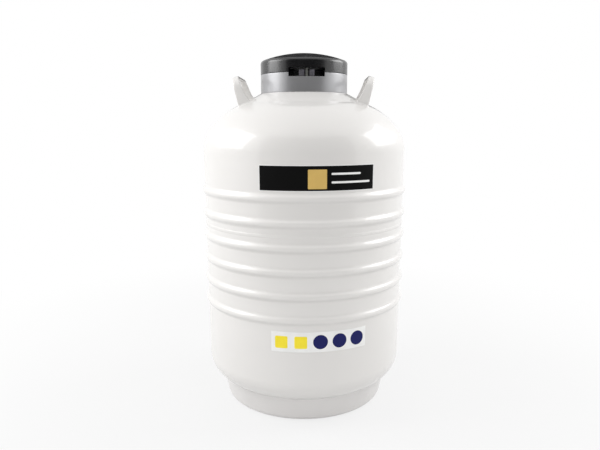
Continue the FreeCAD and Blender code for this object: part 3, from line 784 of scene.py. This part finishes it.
def make_lid():
    """The domed lid with its hasp pocket, boss and ribs."""
    edge_centre = (collar_radius - lid_edge_radius, lid_edge_z)
    rise = math.sqrt((lid_dome_radius - lid_edge_radius) ** 2 - edge_centre[0] ** 2)
    dome_centre = (0, lid_edge_z - rise)
    meet = math.degrees(math.atan2(rise, edge_centre[0]))
    lip = collar_radius - collar_wall - lid_lip_gap
    inner = lip - lid_wall
    ease = 0.5
    outline = trace([
        (dome_centre, lid_dome_radius, 90, meet),
        (edge_centre, lid_edge_radius, meet, 0),
        ((collar_radius - ease, lid_foot_z + ease), ease, 0, -90),
        (lip, lid_foot_z),
        ((lip - ease, lid_lip_z + ease), ease, 0, -90),
        (inner, lid_lip_z),
        (inner, lid_foot_z + lid_jog),
        (collar_radius - lid_wall, lid_foot_z + 2 * lid_jog),
        (edge_centre, lid_edge_radius - lid_wall, 0, meet),
        (dome_centre, lid_dome_radius - lid_wall, meet, 90),
    ])
    outline[0] = (0.0, outline[0][1])
    outline[-1] = (0.0, outline[-1][1])
    lid = piece("lid", turned(outline), None)
    back = tab_inner_radius - pocket_gap - lug_plate
    wide = window_width / 2 + pocket_wall
    wall = piece("wall", turned([
        (back - pocket_wall, lid_lip_z),
        (lip - 0.5, lid_lip_z),
        (lip - 0.5, lug_top_z),
        (back - pocket_wall, lug_top_z),
    ]), None)
    combined(wall, block(-wide, wide, -2 * collar_radius, 0, 0, 2 * lid_edge_z), "INTERSECT")
    combined(lid, wall, "UNION")
    space = piece("space", turned([
        (back, lid_lip_z - 1),
        (2 * collar_radius, lid_lip_z - 1),
        (2 * collar_radius, lid_notch_z),
        (back, lid_notch_z),
    ]), None)
    half = window_width / 2
    combined(space, block(-half, half, -3 * collar_radius, 0, 0, 2 * lid_edge_z), "INTERSECT")
    combined(lid, space, "DIFFERENCE")
    broken_edges(turn_neck(lid), 0.4)
    dress(lid, "lid", lid_plastic, ["lid_cap"])
    ceiling = dome_centre[1] + math.sqrt((lid_dome_radius - lid_wall) ** 2 - lid_boss_radius ** 2)
    stem = trace([
        (0.0, boss_foot_z),
        (lid_boss_radius, boss_foot_z),
        (lid_boss_radius, ceiling + 1),
        (0.0, ceiling + 1),
    ])
    stem[0] = (0.0, boss_foot_z)
    boss = piece("boss", turned(stem, segments=64), None)
    ribs = []
    for index in range(lid_rib_count):
        turn = math.radians(index * 360.0 / lid_rib_count)
        cosine, sine = math.cos(turn), math.sin(turn)
        low = lid_edge_z - lid_wall
        rings = []
        for step in range(13):
            at = lid_boss_radius - 1 + (collar_radius - lid_wall - lid_boss_radius) * step / 12
            if at <= edge_centre[0]:
                high = dome_centre[1] + math.sqrt((lid_dome_radius - lid_wall) ** 2 - at ** 2) + 0.8
            else:
                square = (lid_edge_radius - lid_wall) ** 2 - (at - edge_centre[0]) ** 2
                high = lid_edge_z + math.sqrt(max(0.0, square)) + 0.8
            ring = []
            for across, level in ((-1, low), (1, low), (1, high), (-1, high)):
                side = across * lid_rib_thickness / 2
                ring.append((at * cosine - side * sine, at * sine + side * cosine, level))
            rings.append(ring)
        ribs.append(piece("rib", rings, None, loop=False))
    inside = turn_neck(joined(boss, ribs, "lid_ribs"))
    dress(inside, "lid", lid_plastic)


# Labels

label_face = shell_radius + label_gap + label_thickness


def sheet(name, width, middle, low, high, inner, outer, material, nodes=()):
    """A rectangular label on the shell, its width measured along the shell."""
    sweep = math.degrees(width / shell_radius)
    outline = [(inner, low), (outer, low), (outer, high), (inner, high)]
    rings = turned(outline, middle - sweep / 2 - 90, sweep, 64)
    return piece(name, rings, "vessel", material, nodes, loop=False)


def mark(name, angle, level, outline, material):
    """A printed mark on a label: an outline in mm about its middle, laid on the shell's curve."""
    low = label_face - 0.02
    high = label_face + print_thickness
    rings = []
    shares = [step / 6 for step in range(7)]
    for radius, run in ((low, shares), (high, shares[::-1])):
        for share in run:
            ring = []
            for across, up in outline:
                turn = math.radians(angle - 90) + across * share / radius
                ring.append((radius * math.cos(turn), radius * math.sin(turn), level + up * share))
            rings.append(ring)
    return piece(name, rings, "vessel", material)


def disc(radius):
    """A round outline."""
    return [polar((0, 0), radius, 6.0 * step) for step in range(60)]


def soft_box(width, height, corner):
    """A rounded rectangle, its sides divided so that it bends with the shell."""
    arcs = []
    for across, up, first in ((1, 1, 0), (-1, 1, 90), (-1, -1, 180), (1, -1, 270)):
        centre = (across * (width / 2 - corner), up * (height / 2 - corner))
        arcs += [polar(centre, corner, first + 15.0 * step) for step in range(7)]
    points = []
    for here, after in zip(arcs, arcs[1:] + arcs[:1]):
        steps = max(1, round(math.dist(here, after) / 3.0))
        for i in range(steps):
            points.append(tuple(a + (b - a) * i / steps for a, b in zip(here, after)))
    return points


def make_labels():
    """Both labels with their plain printed marks."""
    back = shell_radius - label_gap
    sheet("front_label_sheet", front_label_width, front_label_angle,
          front_label_low, front_label_high, back, label_face, label_white, ["front_label"])
    sheet("front_label_field", front_label_width - 2 * label_border, front_label_angle,
          front_label_low + label_border, front_label_high - label_border,
          label_face - 0.02, label_face + print_thickness / 2, label_black)
    mark("front_label_tile", 8.15, 422.6, soft_box(29.5, 29.8, 1.2), label_gold)
    mark("front_label_bar_1", 23.0, 430.6, soft_box(50.0, 3.2, 1.5), label_white)
    mark("front_label_bar_2", 25.8, 417.6, soft_box(67.5, 3.2, 1.5), label_white)
    sheet("strip_sheet", strip_width, strip_angle, strip_low, strip_high,
          back, label_face, label_white, ["strip_label"])
    middle = (strip_low + strip_high) / 2
    for index, angle in enumerate((-10.3, -0.1, 10.2, 20.5, 30.7), start=1):
        if index < 3:
            mark("strip_mark_%d" % index, angle, middle - 0.5,
                 soft_box(21.0, 21.0, 2.5), label_yellow)
        else:
            mark("strip_mark_%d" % index, angle, middle, disc(12.3), label_blue)


make_shell()
make_girth_weld()
make_foot_ring()
make_stitches()
make_handles()
make_collar()
make_lid()
make_labels()

# CAD nodes that show as they are, with their finish
finishes = {
    "neck_flange": bare_aluminium, "neck_tube": glass_fibre, "inner_neck_ring": bare_aluminium,
    "inner_vessel_upper": bare_aluminium, "inner_vessel_lower": bare_aluminium,
    "superinsulation": foil_blanket, "adsorbent_tray": adsorbent,
    "port_tube": bare_aluminium, "port_plug": bare_aluminium, "port_seal_ring": port_rubber,
    "port_cap": port_plastic, "collar_screws": screw_steel, "hasp_tab": tab_metal,
    "index_ring": index_plastic, "canister_spider": bare_aluminium, "lid_hasp": hasp_steel,
    "plug_carrier": port_plastic, "carrier_screw": screw_steel, "neck_plug": foam,
}
for number in range(1, 7):
    finishes["canister_%d" % number] = canister_metal
    finishes["canister_handle_%d" % number] = canister_metal
for name, material in finishes.items():
    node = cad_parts[name]
    node.data.materials.clear()
    node.data.materials.append(material)
for name in ("hasp_tab", "lid_hasp"):
    broken_edges(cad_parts[name], 0.3)


# Stage: a white room with a pale floor, dark screens in front and behind, soft lamps at the sides

def background_rays(tree):
    """1 for rays that should see the plain background: camera, mirror and glass rays."""
    path = tree.nodes.new("ShaderNodeLightPath")
    total = path.outputs["Is Camera Ray"]
    for name in ("Is Glossy Ray", "Is Transmission Ray"):
        either = tree.nodes.new("ShaderNodeMath")
        either.operation = "MAXIMUM"
        tree.links.new(total, either.inputs[0])
        tree.links.new(path.outputs[name], either.inputs[1])
        total = either.outputs["Value"]
    return total


def make_world(horizon, zenith):
    """The room's light, softer from above; it shows itself as plain white."""
    world = bpy.data.worlds.new("room")
    world.use_nodes = True
    bpy.context.scene.world = world
    tree = world.node_tree
    lit = tree.nodes["Background"]
    lit.inputs["Color"].default_value = (1.0, 1.0, 1.0, 1.0)
    direction = tree.nodes.new("ShaderNodeTexCoord")
    parts = tree.nodes.new("ShaderNodeSeparateXYZ")
    light = tree.nodes.new("ShaderNodeMapRange")
    light.inputs["To Min"].default_value = horizon
    light.inputs["To Max"].default_value = zenith
    tree.links.new(direction.outputs["Generated"], parts.inputs["Vector"])
    tree.links.new(parts.outputs["Z"], light.inputs["Value"])
    tree.links.new(light.outputs["Result"], lit.inputs["Strength"])
    seen = tree.nodes.new("ShaderNodeBackground")
    seen.inputs["Color"].default_value = (1.0, 1.0, 1.0, 1.0)
    mix = tree.nodes.new("ShaderNodeMixShader")
    tree.links.new(background_rays(tree), mix.inputs["Fac"])
    tree.links.new(lit.outputs["Background"], mix.inputs[1])
    tree.links.new(seen.outputs["Background"], mix.inputs[2])
    tree.links.new(mix.outputs["Shader"], tree.nodes["World Output"].inputs["Surface"])


def from_object(azimuth, elevation, distance):
    """A place seen from the middle of the object; azimuth is measured from -Y towards +X."""
    turn = math.radians(azimuth)
    rise = math.radians(elevation)
    flat = distance * math.cos(rise)
    level = aim_z + distance * math.sin(rise)
    return Vector((flat * math.sin(turn), -flat * math.cos(turn), level))


def stage_sheet(name, places, faces, material):
    """A flat or curved sheet that belongs to the stage."""
    mesh = bpy.data.meshes.new(name)
    mesh.from_pydata(places, [], faces)
    mesh.materials.append(material)
    made = bpy.data.objects.new(name, mesh)
    bpy.context.scene.collection.objects.link(made)
    return made


def make_floor(size, near, far, share):
    """The floor is white far out; near the object it keeps a share of its shading."""
    material = bpy.data.materials.new("floor")
    material.use_nodes = True
    tree = material.node_tree
    tree.nodes.remove(tree.nodes["Principled BSDF"])
    shaded = tree.nodes.new("ShaderNodeBsdfDiffuse")
    shaded.inputs["Color"].default_value = (0.62, 0.62, 0.62, 1.0)
    glow = tree.nodes.new("ShaderNodeEmission")
    glow.inputs["Strength"].default_value = 1.0
    place = tree.nodes.new("ShaderNodeTexCoord")
    length = tree.nodes.new("ShaderNodeVectorMath")
    length.operation = "LENGTH"
    fade = tree.nodes.new("ShaderNodeMapRange")
    fade.interpolation_type = "SMOOTHSTEP"
    limits = (("From Min", near), ("From Max", far), ("To Min", 1.0 - share), ("To Max", 1.0))
    for socket, value in limits:
        fade.inputs[socket].default_value = value
    weight = tree.nodes.new("ShaderNodeMath")
    weight.operation = "MULTIPLY"
    mix = tree.nodes.new("ShaderNodeMixShader")
    tree.links.new(place.outputs["Object"], length.inputs[0])
    tree.links.new(length.outputs["Value"], fade.inputs["Value"])
    tree.links.new(background_rays(tree), weight.inputs[0])
    tree.links.new(fade.outputs["Result"], weight.inputs[1])
    tree.links.new(weight.outputs["Value"], mix.inputs["Fac"])
    tree.links.new(shaded.outputs["BSDF"], mix.inputs[1])
    tree.links.new(glow.outputs["Emission"], mix.inputs[2])
    tree.links.new(mix.outputs["Shader"], tree.nodes["Material Output"].inputs["Surface"])
    corners = [(-size, -size, 0), (size, -size, 0), (size, size, 0), (-size, size, 0)]
    stage_sheet("floor", corners, [(0, 1, 2, 3)], material)


def make_screen(name, first, last, distance, low, high):
    """A dark curved screen that shows in reflections only and keeps them calm."""
    material = bpy.data.materials.new(name)
    material.use_nodes = True
    shader = material.node_tree.nodes["Principled BSDF"]
    shader.inputs["Base Color"].default_value = (0.03, 0.03, 0.03, 1.0)
    shader.inputs["Roughness"].default_value = 1.0
    count = 16
    places = []
    for step in range(count + 1):
        foot = from_object(first + (last - first) * step / count, 0.0, distance)
        places += [(foot.x, foot.y, low), (foot.x, foot.y, high)]
    faces = [(2 * i, 2 * i + 2, 2 * i + 3, 2 * i + 1) for i in range(count)]
    screen = stage_sheet(name, places, faces, material)
    screen.visible_camera = False
    screen.visible_diffuse = False
    screen.visible_shadow = False


def make_lamp(name, azimuth, elevation, width, height, power):
    """A soft lamp that faces the middle of the object."""
    data = bpy.data.lights.new(name, "AREA")
    data.shape = "RECTANGLE"
    data.size = width
    data.size_y = height
    data.energy = power
    lamp = bpy.data.objects.new(name, data)
    lamp.location = from_object(azimuth, elevation, 1.5)
    away = lamp.location - Vector((0, 0, aim_z))
    lamp.rotation_euler = away.to_track_quat("Z", "Y").to_euler()
    bpy.context.scene.collection.objects.link(lamp)


aim_z = 0.4
make_world(1.46, 0.6)
make_floor(30.0, 0.35, 1.1, 0.24)
make_screen("screen_front", -46.0, 56.0, 1.7, 0.0, 2.2)
make_screen("screen_back", 165.0, 195.0, 1.7, 0.45, 2.4)
make_lamp("lamp_left", -84.0, 28.0, 1.0, 0.9, 12.5)
make_lamp("lamp_right", 103.0, 28.0, 1.0, 0.75, 10.5)

# Camera: its place, tilt and lens come from the photograph's outline
lens_data = bpy.data.cameras.new("camera")
lens_data.sensor_width = 36.0
lens_data.lens = 33.79
lens_data.shift_x = -0.0067
lens_data.shift_y = 0.044
lens_data.clip_start = 0.05
lens_data.clip_end = 100.0
camera = bpy.data.objects.new("camera", lens_data)
camera.location = (0.029, -1.0395, 0.50575)
camera.rotation_euler = (math.radians(77.2), 0.0, math.radians(1.6))
bpy.context.scene.collection.objects.link(camera)
bpy.context.scene.camera = camera

bpy.context.scene.view_settings.view_transform = "Standard"
